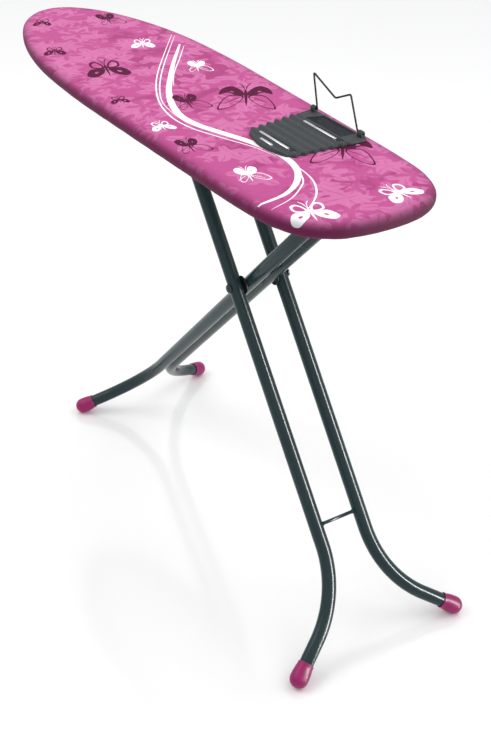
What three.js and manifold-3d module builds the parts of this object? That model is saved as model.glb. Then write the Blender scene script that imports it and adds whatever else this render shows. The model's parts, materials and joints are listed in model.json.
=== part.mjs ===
// Folding ironing board: a padded board on a scissor of two bent-tube leg pairs.
// Millimetres, +Z up, floor at z = 0, +X towards the blunt end, +Y towards the cord guide's edge.
import * as THREE from 'three';
import { mergeVertices } from 'three/addons/utils/BufferGeometryUtils.js';
import Module from 'manifold-3d';

const wasm = await Module();
wasm.setup();

// ---- Driving dimensions -------------------------------------------------------------------
const GAP = 0.3;                  // clearance kept between pieces that touch
const UP = new THREE.Vector3(0, 0, 1);

// Board: half of its outline, from the nose tip to the middle of the blunt end
const HALF_OUTLINE = [
  [-690.7, 0], [-680, 38], [-653, 69], [-610, 99], [-509, 138], [-361, 168], [-172, 178],
  [45, 173], [262, 166], [425, 160], [508, 149], [564, 122], [595, 78], [606.8, 0],
];
const BOARD_TOP = 858;
const BOARD_THICKNESS = 28;
const COVER_SKIN = 1.5;
const EDGE_ROUND = 12;
const HEM_WIDTH = 40;             // how far the cover returns under the board
const PANEL_TOP = 847;
const PANEL_SKIN = 1.2;
const PANEL_INSET = 5.5;
const PANEL_RIM = 10;
const FOAM_BASE = PANEL_TOP + GAP;

// Leg tubes
const TUBE_RADIUS = 13.5;
const TUBE_WALL = 1.2;
const FOOT_RADIUS = 17.5;
const FOOT_CENTRE_Z = 16.6;       // a little under the radius, so each foot has a small flat
const SCISSOR = new THREE.Vector3(233.3, 0, 572.6);
const SCISSOR_BOLT_RADIUS = 4;

const OUTER_LEG = {
  angle: 51.58, lean: -1, tubeY: 48.9, footY: 178.8,
  bendAngle: 50, bendRadius: 207, topLength: 310.7, topTrim: 7.4,
};
const INNER_LEG = {
  angle: 45.83, lean: 1, tubeY: 19, footY: 160.2,
  bendAngle: 55, bendRadius: 230, topLength: 310.1, topTrim: 10.4,
};
const CROSS_ROD_RADIUS = 3.3;
const CROSS_ROD_FROM_FOOT = 242;

// Top hinge of the inner legs and slide carriage of the outer legs
const SLEEVE_RADIUS = 10;
const SLEEVE_HALF = 28;
const AXLE_RADIUS = 6;
const AXLE_HALF = 35;
const CROSSBAR_RADIUS = 7;
const CROSSBAR_HALF = 64;
const STUB_RADIUS = 4;
const STUB_END = 83;
const SHOE = { length: 40, height: 17, inner: 67, outer: 84.7 };
const RAIL = {
  from: -208, to: 80, lip: 66, wall: 86, foot: 105, bottom: 802.5, top: 829.5,
  mountTop: PANEL_TOP - PANEL_SKIN - GAP, skin: 1.5,
};

// Height lever
const LEVER_PIN = new THREE.Vector3(200, 0, 831);
const LEVER_ROD = new THREE.Vector3(250, 0, 819);
const NOTCH_PITCH = 30;

// Iron rest
const MAT_BASE = BOARD_TOP + GAP;
const MAT_FLAT = 864;
const RIDGE_TOP = 865.2;
const RIDGE_PITCH = 15.5;
const RIDGE_COUNT = 8;
const MAT_OUTLINE = [[178, 147], [212, -14], [240, -25], [285, -28], [325, -23], [346, -12], [351, 147]];
const WIRE_RADIUS = 1.75;
const WIRE_Y = 140;
const WIRE_PIVOT_Z = 868.7;
const WIRE_LEFT = 204;
const WIRE_RIGHT = 326;

// ---- Materials ----------------------------------------------------------------------------
const material = (color, roughness, metalness) =>
  new THREE.MeshStandardMaterial({ color, roughness, metalness });
const fabric = material(0xc9609e, 0.85, 0);
const foam = material(0xe8e4d8, 0.95, 0);
const paintedTube = material(0x3c4a4d, 0.3, 0.5);
const galvanised = material(0xb4b8ba, 0.4, 0.9);
const capPlastic = material(0xa5367a, 0.4, 0);
const blackPlastic = material(0x1a1b1c, 0.5, 0);
const matRubber = material(0x4b4f50, 0.6, 0);
const blackWire = material(0x202224, 0.35, 0.8);

// ---- Solid helpers ------------------------------------------------------------------------
function solidOf(geometry) {
  const bare = geometry.clone();
  bare.deleteAttribute('normal');
  bare.deleteAttribute('uv');
  const welded = mergeVertices(bare, 1e-4);
  return new wasm.Manifold(new wasm.Mesh({
    numProp: 3,
    vertProperties: new Float32Array(welded.attributes.position.array),
    triVerts: new Uint32Array(welded.index.array),
  }));
}

function geometryOf(solid) {
  const mesh = solid.getMesh();
  const geometry = new THREE.BufferGeometry();
  geometry.setAttribute('position', new THREE.BufferAttribute(new Float32Array(mesh.vertProperties), 3));
  geometry.setIndex(new THREE.BufferAttribute(new Uint32Array(mesh.triVerts), 1));
  return geometry;
}

function cut(geometry, ...tools) {
  const start = solidOf(geometry);
  return geometryOf(tools.reduce((solid, tool) => solid.subtract(solidOf(tool)), start));
}

const common = (a, b) => geometryOf(solidOf(a).intersect(solidOf(b)));

function box(xLow, xHigh, yLow, yHigh, zLow, zHigh) {
  const geometry = new THREE.BoxGeometry(xHigh - xLow, yHigh - yLow, zHigh - zLow);
  return geometry.translate((xLow + xHigh) / 2, (yLow + yHigh) / 2, (zLow + zHigh) / 2);
}

// A round bar across the board, between two values of y
function crossBar(radius, centre, yLow, yHigh, sides = 16) {
  const geometry = new THREE.CylinderGeometry(radius, radius, yHigh - yLow, sides);
  return geometry.translate(centre.x, (yLow + yHigh) / 2, centre.z);
}

// A turned piece whose axis lies across the board; the profile is [radius, y] pairs
function turnedAcross(profile, centre, sides = 16) {
  const points = profile.map(([radius, y]) => new THREE.Vector2(radius, y));
  return new THREE.LatheGeometry(points, sides).translate(centre.x, 0, centre.z);
}

function ring(outer, bore, centre, yLow, yHigh, sides = 16) {
  const profile = [[bore, yLow], [outer, yLow], [outer, yHigh], [bore, yHigh], [bore, yLow]];
  return turnedAcross(profile, centre, sides);
}

const shapeOf = (points) => new THREE.Shape(points.map(([x, y]) => new THREE.Vector2(x, y)));
const flatExtrude = (shape, depth) => new THREE.ExtrudeGeometry(shape, { depth, bevelEnabled: false });

const extrudeUp = (points, zLow, zHigh) => flatExtrude(shapeOf(points), zHigh - zLow).translate(0, 0, zLow);

// [x, z] points, given depth between two values of y
function extrudeAcross(points, yLow, yHigh) {
  return flatExtrude(shapeOf(points), yHigh - yLow).rotateX(Math.PI / 2).translate(0, yHigh, 0);
}

// [y, z] points, given length between two values of x
function extrudeAlong(points, xLow, xHigh) {
  const turn = new THREE.Matrix4().makeBasis(
    new THREE.Vector3(0, 1, 0), new THREE.Vector3(0, 0, 1), new THREE.Vector3(1, 0, 0));
  return flatExtrude(shapeOf(points), xHigh - xLow).applyMatrix4(turn).translate(xLow, 0, 0);
}

// A path whose rings sit exactly at the given stations
class StationPath extends THREE.Curve {
  constructor(stations) {
    super();
    this.stations = stations;
  }

  getPoint(t) {
    const last = this.stations.length - 1;
    const index = Math.min(Math.floor(t * last + 1e-6), last - 1);
    return this.stations[index].clone().lerp(this.stations[index + 1], t * last - index);
  }

  getPointAt(t) {
    return this.getPoint(t);
  }

  getTangentAt(t) {
    const last = this.stations.length - 1;
    const index = Math.round(t * last);
    const before = this.stations[Math.max(index - 1, 0)];
    const after = this.stations[Math.min(index + 1, last)];
    const here = this.stations[index];
    const incoming = index > 0 ? here.clone().sub(before).normalize() : new THREE.Vector3();
    const outgoing = index < last ? after.clone().sub(here).normalize() : new THREE.Vector3();
    return incoming.add(outgoing).normalize();
  }
}

function circlePoints(radius, sides) {
  return Array.from({ length: sides }, (_, i) => {
    const angle = (2 * Math.PI * i) / sides;
    return [radius * Math.cos(angle), radius * Math.sin(angle)];
  });
}

function sweep(stations, radius, sides, bore = 0) {
  const shape = shapeOf(circlePoints(radius, sides));
  if (bore > 0) {
    shape.holes.push(shapeOf(circlePoints(bore, sides).reverse()));
  }
  return new THREE.ExtrudeGeometry(shape, {
    steps: stations.length - 1, bevelEnabled: false, extrudePath: new StationPath(stations),
  });
}

// Rounds each inner corner of a wire's path with an arc of short steps
function roundedStations(corners, radius, steps = 4) {
  const stations = [corners[0]];
  for (let i = 1; i < corners.length - 1; i += 1) {
    const towardsBack = corners[i - 1].clone().sub(corners[i]).setLength(radius);
    const towardsNext = corners[i + 1].clone().sub(corners[i]).setLength(radius);
    const start = corners[i].clone().add(towardsBack);
    const end = corners[i].clone().add(towardsNext);
    const bend = new THREE.QuadraticBezierCurve3(start, corners[i], end);
    stations.push(...bend.getPoints(steps));
  }
  stations.push(corners[corners.length - 1]);
  return stations;
}

// ---- The assembly -------------------------------------------------------------------------
const assembly = new THREE.Group();

function add(name, geometry, look) {
  const mesh = new THREE.Mesh(geometry, look);
  mesh.name = name;
  assembly.add(mesh);
}

const SIDES = [['near', -1], ['far', 1]];

// ---- Board --------------------------------------------------------------------------------
function boardOutline(inset, count = 56) {
  const far = HALF_OUTLINE.map(([x, y]) => new THREE.Vector3(x, y, 0));
  const near = far.slice(1, -1).reverse().map((p) => new THREE.Vector3(p.x, -p.y, 0));
  const loop = new THREE.CatmullRomCurve3([...far, ...near], true, 'centripetal');
  const points = [];
  for (let i = 0; i < count; i += 1) {
    const t = i / count;
    const tangent = loop.getTangentAt(t);
    const outward = new THREE.Vector3().crossVectors(tangent, UP).multiplyScalar(-1);
    const point = loop.getPointAt(t).addScaledVector(outward, -inset);
    points.push([point.x, point.y]);
  }
  return points.reverse();
}

function boardSlab(inset, zLow, zHigh, round) {
  const shape = shapeOf(boardOutline(inset + round));
  const geometry = new THREE.ExtrudeGeometry(shape, {
    depth: zHigh - zLow - 2 * round, bevelEnabled: true,
    bevelThickness: round, bevelSize: round, bevelSegments: 4,
  });
  return geometry.translate(0, 0, zLow + round);
}

function addBoard() {
  const bottom = BOARD_TOP - BOARD_THICKNESS;
  const coverInside = boardSlab(COVER_SKIN, bottom + COVER_SKIN, BOARD_TOP - COVER_SKIN, EDGE_ROUND - 1);
  const underOpening = extrudeUp(boardOutline(HEM_WIDTH), bottom - 5, bottom + 5);
  add('cover', cut(boardSlab(0, bottom, BOARD_TOP, EDGE_ROUND), coverInside, underOpening), fabric);

  const foamSkin = COVER_SKIN + GAP;
  const foamBlock = boardSlab(foamSkin, bottom + foamSkin, BOARD_TOP - foamSkin, EDGE_ROUND - 1);
  const aboveFoamBase = box(-800, 800, -300, 300, FOAM_BASE, BOARD_TOP);
  add('foam_pad', common(foamBlock, aboveFoamBase), foam);

  addPanel();
  addHem(bottom);
}

function addPanel() {
  const tray = extrudeUp(boardOutline(PANEL_INSET), PANEL_TOP - PANEL_RIM, PANEL_TOP);
  const innerOutline = boardOutline(PANEL_INSET + PANEL_SKIN);
  const hollow = extrudeUp(innerOutline, PANEL_TOP - PANEL_RIM - 1, PANEL_TOP - PANEL_SKIN);
  const vents = [];
  const pitchX = 92;
  const pitchY = 44;
  for (let column = -6; column <= 5; column += 1) {
    const x = column * pitchX;
    const room = boardHalfWidth(Math.abs(x) > 500 ? x + Math.sign(x) * 40 : x) - 34;
    for (let y = pitchY / 2; y + 13 < room; y += pitchY) {
      const overRail = x > RAIL.from - 45 && x < RAIL.to + 45 && y > 50 && y < 120;
      const overHinge = x > 360 && x < 530 && y < 70;
      const overLever = x > 140 && x < 250 && y < 40;
      if (!overRail && !overHinge && !overLever) {
        vents.push(box(x - 34, x + 34, y - 13, y + 13, PANEL_TOP - 5, PANEL_TOP + 5));
        vents.push(box(x - 34, x + 34, -y - 13, -y + 13, PANEL_TOP - 5, PANEL_TOP + 5));
      }
    }
  }
  add('board_panel', cut(tray, hollow, ...vents), galvanised);
}

function boardHalfWidth(x) {
  for (let i = 1; i < HALF_OUTLINE.length; i += 1) {
    const [x0, y0] = HALF_OUTLINE[i - 1];
    const [x1, y1] = HALF_OUTLINE[i];
    if (x <= x1) {
      return y0 + ((y1 - y0) * (x - x0)) / (x1 - x0);
    }
  }
  return 0;
}

// The elastic runs round inside the hem and its two ends meet in a lock at the blunt end
function addHem(bottom) {
  const elasticZ = bottom + 4;
  const loop = boardOutline(HEM_WIDTH + 8, 40).map(([x, y]) => new THREE.Vector3(x, y, elasticZ));
  const blunt = loop.reduce((best, p, i) => (p.x > loop[best].x ? i : best), 0);
  const run = [...loop.slice(blunt), ...loop.slice(0, blunt)];
  const end = run.shift();
  const first = new THREE.Vector3(end.x, run[0].y > 0 ? 2 : -2, elasticZ);
  const last = new THREE.Vector3(end.x, -first.y, elasticZ);
  add('hem_elastic', sweep([first, ...run, last], 1.6, 6), blackPlastic);
  const lock = box(end.x - 6, end.x + 6, -9, 9, elasticZ - 6, elasticZ + 5);
  const bore = crossBar(2.6, new THREE.Vector3(end.x, 0, elasticZ), -12, 12, 12);
  add('cord_lock', cut(lock, bore), blackPlastic);
}

// ---- Legs ---------------------------------------------------------------------------------
const radians = (degrees) => (degrees * Math.PI) / 180;

function legDirection(leg) {
  return new THREE.Vector3(leg.lean * Math.cos(radians(leg.angle)), 0, Math.sin(radians(leg.angle)));
}

// Distance along the leg from the foot's centre up to the scissor pivot
const footToScissor = (leg) => (SCISSOR.z - FOOT_CENTRE_Z) / Math.sin(radians(leg.angle));

function legPoint(leg, fromFoot, y) {
  const point = SCISSOR.clone().addScaledVector(legDirection(leg), fromFoot - footToScissor(leg));
  point.y = y;
  return point;
}

const legTop = (leg) => legPoint(leg, footToScissor(leg) + leg.topLength, 0);

// Stations of one tube: straight down from the top, then an arc out to the foot
function legStations(leg, side) {
  const bend = radians(leg.bendAngle);
  const splay = leg.footY - leg.tubeY;
  const arcSplay = leg.bendRadius * (1 - Math.cos(bend));
  const straight = (splay - arcSplay) / Math.sin(bend);
  const arcStart = leg.bendRadius * Math.sin(bend) + straight * Math.cos(bend);
  const stations = [legPoint(leg, footToScissor(leg) + leg.topLength - leg.topTrim, side * leg.tubeY)];
  const steps = 8;
  for (let i = 0; i <= steps; i += 1) {
    const turned = (bend * i) / steps;
    const along = arcStart - leg.bendRadius * Math.sin(turned);
    const out = leg.tubeY + leg.bendRadius * (1 - Math.cos(turned));
    stations.push(legPoint(leg, along, side * out));
  }
  const tip = 8;
  stations.push(legPoint(leg, tip * Math.cos(bend), side * (leg.footY - tip * Math.sin(bend))));
  return stations;
}

function addLegTube(name, leg, side) {
  const tube = sweep(legStations(leg, side), TUBE_RADIUS, 16, TUBE_RADIUS - TUBE_WALL);
  const bolt = crossBar(SCISSOR_BOLT_RADIUS + GAP, SCISSOR, -90, 90);
  add(name, cut(tube, bolt), paintedTube);
}

// A bulb-ended cap over the tube's end, cut flat where it stands on the floor
function addFootCap(name, leg, side) {
  const bore = TUBE_RADIUS + GAP;
  const profile = [[0, -6], [bore, -6], [bore, -42], [bore + 1.2, -42], [16.2, -34], [17.3, -16]];
  for (let i = 0; i <= 5; i += 1) {
    const angle = (Math.PI / 2) * (i / 5);
    profile.push([FOOT_RADIUS * Math.cos(angle) * (i < 5 ? 1 : 0), FOOT_RADIUS * Math.sin(angle)]);
  }
  const points = profile.map(([radius, y]) => new THREE.Vector2(radius, y));
  const centre = legPoint(leg, 0, side * leg.footY);
  const bend = radians(leg.bendAngle);
  const outward = legDirection(leg).multiplyScalar(-Math.cos(bend));
  outward.y = side * Math.sin(bend);
  const turn = new THREE.Quaternion().setFromUnitVectors(new THREE.Vector3(0, 1, 0), outward.normalize());
  const cap = new THREE.LatheGeometry(points, 20).applyQuaternion(turn);
  cap.translate(centre.x, centre.y, centre.z);
  const floor = box(centre.x - 60, centre.x + 60, centre.y - 60, centre.y + 60, -40, 0);
  add(name, cut(cap, floor), capPlastic);
}

function addLegs() {
  for (const [sideName, side] of SIDES) {
    addLegTube(`outer_leg_tube_${sideName}`, OUTER_LEG, side);
    addLegTube(`inner_leg_tube_${sideName}`, INNER_LEG, side);
    addFootCap(`outer_foot_cap_${sideName}`, OUTER_LEG, side);
    addFootCap(`inner_foot_cap_${sideName}`, INNER_LEG, side);
  }
  const rodHalf = OUTER_LEG.tubeY - TUBE_RADIUS - GAP;
  const rodCentre = legPoint(OUTER_LEG, CROSS_ROD_FROM_FOOT, 0);
  add('outer_leg_cross_rod', crossBar(CROSS_ROD_RADIUS, rodCentre, -rodHalf, rodHalf, 12), paintedTube);

  const braceHalf = INNER_LEG.tubeY - TUBE_RADIUS - GAP;
  const braces = [['inner_leg_brace_upper', 960], ['inner_leg_brace_lower', 260]];
  for (const [name, fromFoot] of braces) {
    add(name, crossBar(8, legPoint(INNER_LEG, fromFoot, 0), -braceHalf, braceHalf, 12), paintedTube);
  }
}

// ---- Scissor pivot ------------------------------------------------------------------------
function addScissorPivot() {
  const bore = SCISSOR_BOLT_RADIUS + GAP;
  const outside = OUTER_LEG.tubeY + TUBE_RADIUS + GAP;
  const shankEnd = outside + 3;
  const bolt = [
    [0, -outside - 5], [5, -outside - 4.4], [9, -outside - 2], [9, -outside],
    [SCISSOR_BOLT_RADIUS, -outside], [SCISSOR_BOLT_RADIUS, shankEnd], [0, shankEnd],
  ];
  add('scissor_bolt', turnedAcross(bolt, SCISSOR), galvanised);
  add('scissor_nut', ring(8, bore, SCISSOR, outside, outside + 4, 12), galvanised);

  const spacerIn = INNER_LEG.tubeY + TUBE_RADIUS + GAP;
  const spacerOut = OUTER_LEG.tubeY - TUBE_RADIUS - GAP;
  add('scissor_spacer_near', ring(18, bore, SCISSOR, -spacerOut, -spacerIn), blackPlastic);
  add('scissor_spacer_far', ring(18, bore, SCISSOR, spacerIn, spacerOut), blackPlastic);
  const middle = INNER_LEG.tubeY - TUBE_RADIUS - GAP;
  add('scissor_spacer_middle', ring(9, bore, SCISSOR, -middle, middle), blackPlastic);
}

// ---- Top hinge of the inner legs ----------------------------------------------------------
function addTopHinge() {
  const hinge = legTop(INNER_LEG);
  const bore = AXLE_RADIUS + GAP;
  add('inner_leg_sleeve', ring(SLEEVE_RADIUS, bore, hinge, -SLEEVE_HALF, SLEEVE_HALF), paintedTube);
  add('hinge_axle', crossBar(AXLE_RADIUS, hinge, -AXLE_HALF, AXLE_HALF), galvanised);

  const earInner = SLEEVE_HALF + GAP;
  const earOuter = earInner + 2.5;
  const plateTop = PANEL_TOP - PANEL_SKIN - GAP;
  const plateBottom = plateTop - 2.5;
  const half = 9;
  const shoulder = plateBottom - 14;
  const section = [[-34, plateBottom], [-34, plateTop], [34, plateTop], [34, plateBottom]];
  const ear = (yLow, yHigh) => {
    const tip = [];
    for (let i = 0; i <= 8; i += 1) {
      const angle = Math.PI + (Math.PI * i) / 8;
      tip.push([hinge.x + half * Math.cos(angle), hinge.z + half * Math.sin(angle)]);
    }
    const outline = [
      [hinge.x - 26, plateBottom + 1], ...[[hinge.x - half, shoulder]], ...tip,
      [hinge.x + half, shoulder], [hinge.x + 26, plateBottom + 1],
    ];
    return extrudeAcross(outline, yLow, yHigh);
  };
  const base = extrudeAlong(section, hinge.x - 42, hinge.x + 42);
  const joined = solidOf(base).add(solidOf(ear(-earOuter, -earInner))).add(solidOf(ear(earInner, earOuter)));
  const hole = crossBar(bore, hinge, -60, 60);
  add('hinge_bracket', geometryOf(joined.subtract(solidOf(hole))), galvanised);

  for (const [sideName, side] of SIDES) {
    const near = earOuter + GAP;
    const faces = [side * near, side * (near + 2)];
    const clip = ring(8.5, bore, hinge, Math.min(...faces), Math.max(...faces));
    add(`axle_clip_${sideName}`, clip, galvanised);
    for (const [endName, offset] of [['front', -32], ['rear', 32]]) {
      const place = new THREE.Vector3(hinge.x + offset, side * 18, plateBottom - GAP);
      add(`bracket_rivet_${sideName}_${endName}`, rivetHead(place), galvanised);
    }
  }
}

// A domed rivet head hanging under a plate
function rivetHead(place) {
  const profile = [[0, 0], [5, 0], [4.6, -1.2], [3, -2.2], [0, -2.6]].reverse();
  const points = profile.map(([radius, y]) => new THREE.Vector2(radius, y));
  return new THREE.LatheGeometry(points, 12).rotateX(Math.PI / 2).translate(place.x, place.y, place.z);
}

// ---- Slide carriage of the outer legs -----------------------------------------------------
function addCarriage() {
  const top = legTop(OUTER_LEG);
  const profile = [
    [0, -STUB_END], [STUB_RADIUS, -STUB_END],
    [STUB_RADIUS, -CROSSBAR_HALF], [CROSSBAR_RADIUS, -CROSSBAR_HALF],
    [CROSSBAR_RADIUS, CROSSBAR_HALF], [STUB_RADIUS, CROSSBAR_HALF], [STUB_RADIUS, STUB_END], [0, STUB_END],
  ];
  add('outer_leg_crossbar', turnedAcross(profile, top), paintedTube);

  for (const [sideName, side] of SIDES) {
    const low = Math.min(side * SHOE.inner, side * SHOE.outer);
    const high = Math.max(side * SHOE.inner, side * SHOE.outer);
    const halfLength = SHOE.length / 2;
    const halfHeight = SHOE.height / 2;
    const outline = [
      [-halfLength, -halfHeight + 4], [-halfLength + 4, -halfHeight], [halfLength - 4, -halfHeight],
      [halfLength, -halfHeight + 4], [halfLength, halfHeight - 4], [halfLength - 4, halfHeight],
      [-halfLength + 4, halfHeight], [-halfLength, halfHeight - 4],
    ].map(([x, z]) => [top.x + x, top.z + z]);
    const bore = crossBar(STUB_RADIUS + GAP, top, -100, 100);
    add(`slide_shoe_${sideName}`, cut(extrudeAcross(outline, low, high), bore), blackPlastic);
    addRail(sideName, side);
  }
}

function addRail(sideName, side) {
  const { lip, wall, foot, bottom, top, mountTop, skin } = RAIL;
  const section = [
    [lip, bottom], [wall + skin, bottom], [wall + skin, mountTop - skin], [foot, mountTop - skin],
    [foot, mountTop], [wall, mountTop], [wall, top], [lip, top], [lip, top - skin], [wall, top - skin],
    [wall, bottom + skin], [lip, bottom + skin],
  ].map(([y, z]) => [side * y, z]);
  const outline = side > 0 ? section : section.reverse();
  add(`guide_rail_${sideName}`, extrudeAlong(outline, RAIL.from, RAIL.to), galvanised);
  for (const [endName, x] of [['front', RAIL.from + 16], ['rear', RAIL.to - 16]]) {
    const place = new THREE.Vector3(x, side * 98, mountTop - skin - GAP);
    add(`rail_rivet_${sideName}_${endName}`, rivetHead(place), galvanised);
  }
}

// ---- Height lever: a notched bar over the sliding crossbar, with a cross rod and a grip ----
function addHeightLever() {
  const pin = LEVER_PIN;
  const barTop = pin.z + 3;
  const barBottom = pin.z - 2;
  const toothTip = barBottom - 2.6;
  const barEnd = LEVER_ROD.x + 8;
  const outline = [[barEnd, LEVER_ROD.z - 7], [barEnd, LEVER_ROD.z + 6], [pin.x + 20, barTop]];
  outline.push([-186, barTop], [-186, toothTip]);
  for (let x = -180; x < 60; x += NOTCH_PITCH) {
    outline.push([x, toothTip], [x + 3, barBottom], [x + 19, barBottom], [x + 22, toothTip]);
  }
  outline.push([62, toothTip], [66, barBottom], [pin.x - 12, barBottom], [pin.x - 7, pin.z - 7]);
  outline.push([pin.x + 7, pin.z - 7], [LEVER_ROD.x - 10, LEVER_ROD.z - 7]);
  const plate = extrudeAcross(outline.reverse(), -2, 2);
  const pinBore = crossBar(2.5 + GAP, pin, -10, 10);
  const rodBore = crossBar(4 + GAP, LEVER_ROD, -10, 10);
  add('notched_bar', cut(plate, pinBore, rodBore), galvanised);
  add('lever_pin', crossBar(2.5, pin, -12, 12, 12), galvanised);

  const plateTop = PANEL_TOP - PANEL_SKIN - GAP;
  const base = box(pin.x - 24, pin.x + 24, -14, 14, plateTop - 2, plateTop);
  const ears = [[-8, -6], [6, 8]].map(
    ([yLow, yHigh]) => box(pin.x - 7, pin.x + 7, yLow, yHigh, pin.z - 7, plateTop - 1),
  );
  const joined = ears.reduce((solid, ear) => solid.add(solidOf(ear)), solidOf(base));
  const holes = crossBar(2.5 + GAP, pin, -10, 10);
  add('lever_bracket', geometryOf(joined.subtract(solidOf(holes))), galvanised);

  add('lever_rod', crossBar(4, LEVER_ROD, -140, 12, 12), paintedTube);
  const bore = 4 + GAP;
  const grip = [
    [bore, -147], [5.5, -149], [7.5, -146], [6.6, -136], [7.5, -122], [6.6, -108], [7.5, -98],
    [6, -92], [bore, -92],
  ];
  add('lever_grip', turnedAcross([...grip, grip[0]], LEVER_ROD, 16), capPlastic);
  addLeverSpring(plateTop);
}

function addLeverSpring(plateTop) {
  const coils = 3;
  const stepsPerCoil = 10;
  const height = 6.5;
  const stations = Array.from({ length: coils * stepsPerCoil + 1 }, (_, i) => {
    const angle = (2 * Math.PI * i) / stepsPerCoil;
    const drop = (height * i) / (coils * stepsPerCoil);
    return new THREE.Vector3(100 + 6 * Math.cos(angle), 6 * Math.sin(angle), plateTop - 1 - drop);
  });
  add('lever_spring', sweep(stations, 0.7, 6), galvanised);
}

// ---- Iron rest and cord guide -------------------------------------------------------------
function addIronRest() {
  const firstRidge = -16;
  const section = [[-40, MAT_BASE], [160, MAT_BASE], [160, MAT_FLAT - 1.5]];
  const ridges = [];
  for (let i = 0; i < RIDGE_COUNT; i += 1) {
    const y = firstRidge + i * RIDGE_PITCH;
    ridges.push([y - 6.5, MAT_FLAT - 1.5], [y - 3, RIDGE_TOP], [y + 3, RIDGE_TOP], [y + 6.5, MAT_FLAT - 1.5]);
  }
  section.push(...ridges.reverse(), [-40, MAT_FLAT - 1.5]);
  const sheet = extrudeAlong(section, 150, 380);
  const outline = extrudeUp(MAT_OUTLINE, MAT_BASE - 1, RIDGE_TOP + 1);
  add('iron_rest_mat', common(sheet, outline), matRubber);

  const stripBase = RIDGE_TOP + GAP;
  const strips = [
    ['rest_strip_far', 232, 327, firstRidge + 7 * RIDGE_PITCH],
    ['rest_strip_near', 235, 324, firstRidge + RIDGE_PITCH],
    ['rest_strip_short', 262, 298, firstRidge],
  ];
  for (const [name, xLow, xHigh, y] of strips) {
    add(name, box(xLow, xHigh, y - 2.6, y + 2.6, stripBase, stripBase + 0.8), galvanised);
  }
}

function addCordGuide() {
  const point = (x, z) => new THREE.Vector3(x, WIRE_Y, z);
  const corners = [
    point(WIRE_LEFT - 13, WIRE_PIVOT_Z), point(WIRE_LEFT, WIRE_PIVOT_Z), point(188, 932), point(257, 906),
    point(301, 926), point(WIRE_RIGHT, WIRE_PIVOT_Z), point(WIRE_RIGHT + 13, WIRE_PIVOT_Z),
  ];
  add('cord_guide_wire', sweep(roundedStations(corners, 5), WIRE_RADIUS, 8), blackWire);
  const sockets = [['wire_socket_left', WIRE_LEFT - 17], ['wire_socket_right', WIRE_RIGHT + 4]];
  for (const [name, x] of sockets) {
    const block = box(x, x + 13, WIRE_Y - 5, WIRE_Y + 5, MAT_FLAT - 1.5 + GAP, WIRE_PIVOT_Z + 3.5);
    const end = name.endsWith('left') ? [x + 3, x + 20] : [x - 7, x + 10];
    const bore = new THREE.CylinderGeometry(WIRE_RADIUS + GAP, WIRE_RADIUS + GAP, end[1] - end[0], 12);
    bore.rotateZ(Math.PI / 2).translate((end[0] + end[1]) / 2, WIRE_Y, WIRE_PIVOT_Z);
    add(name, cut(block, bore), matRubber);
  }
}

addBoard();
addLegs();
addScissorPivot();
addTopHinge();
addCarriage();
addHeightLever();
addIronRest();
addCordGuide();

export default assembly;
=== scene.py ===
import json
import math

import bmesh
import bpy
import numpy as np
from mathutils import Matrix, Vector
from mathutils.geometry import delaunay_2d_cdt


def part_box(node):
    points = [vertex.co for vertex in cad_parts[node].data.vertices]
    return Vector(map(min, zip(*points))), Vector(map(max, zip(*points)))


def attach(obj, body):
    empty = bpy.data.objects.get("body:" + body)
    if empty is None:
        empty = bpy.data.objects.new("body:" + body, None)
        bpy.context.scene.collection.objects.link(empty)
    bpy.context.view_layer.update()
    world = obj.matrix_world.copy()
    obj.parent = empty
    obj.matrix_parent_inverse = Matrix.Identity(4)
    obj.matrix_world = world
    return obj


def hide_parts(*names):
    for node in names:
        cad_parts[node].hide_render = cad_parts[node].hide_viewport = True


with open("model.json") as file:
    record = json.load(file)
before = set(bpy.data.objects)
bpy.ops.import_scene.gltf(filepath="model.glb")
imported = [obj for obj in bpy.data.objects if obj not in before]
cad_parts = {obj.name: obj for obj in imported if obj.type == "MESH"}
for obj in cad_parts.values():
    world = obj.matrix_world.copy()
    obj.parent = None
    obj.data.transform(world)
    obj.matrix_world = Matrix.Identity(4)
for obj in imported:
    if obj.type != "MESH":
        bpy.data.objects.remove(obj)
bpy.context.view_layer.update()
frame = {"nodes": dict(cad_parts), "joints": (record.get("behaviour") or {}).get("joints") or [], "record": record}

MM = 0.001

# ---- Sizes, in millimetres unless a name says otherwise ----
# Half of the board's outline, from the nose tip to the middle of the blunt end
HALF_OUTLINE = [
    (-690.7, 0), (-680, 38), (-653, 69), (-610, 99), (-509, 138), (-361, 168), (-172, 178),
    (45, 173), (262, 166), (425, 160), (508, 149), (564, 122), (595, 78), (606.8, 0),
]
OUTLINE_POINTS = 280
EDGE_ROUND = 12.5
HEM_RETURN = 30
# How far in on the top the painted shade towards the edge begins
RIM_SHADE = 14
CLOTH_GRID = 8.0
TOP_UNEVENNESS = 0.35
PANEL_INSET = 5.5
PANEL_SKIN = 1.2
HOLE_PITCH = 24.0
HOLE_RADIUS = 8.0
# Parts of the panel without holes, under the rails, the hinge and the lever: x from and to, then
# distance from the middle line from and to
PLAIN_PATCHES = [(-225, 97, 55, 115), (395, 503, -1, 45), (165, 235, -1, 26)]
TUBE_RADIUS = 13.5
TUBE_SIDES = 32
OUTER_LEG = {"lean": -1, "tube_y": 48.9, "bend": 50, "bend_radius": 207, "trim": 7.4}
INNER_LEG = {"lean": 1, "tube_y": 19.0, "bend": 55, "bend_radius": 230, "trim": 10.4}
BRACE_PIN_ABOVE_PIVOT = 74
FOOT_RADIUS = 17.5
FOOT_CENTRE_Z = 16.6
RIDGE_PITCH = 18.6
NEAR_STRIP_RIDGE_Y = -0.5

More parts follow.
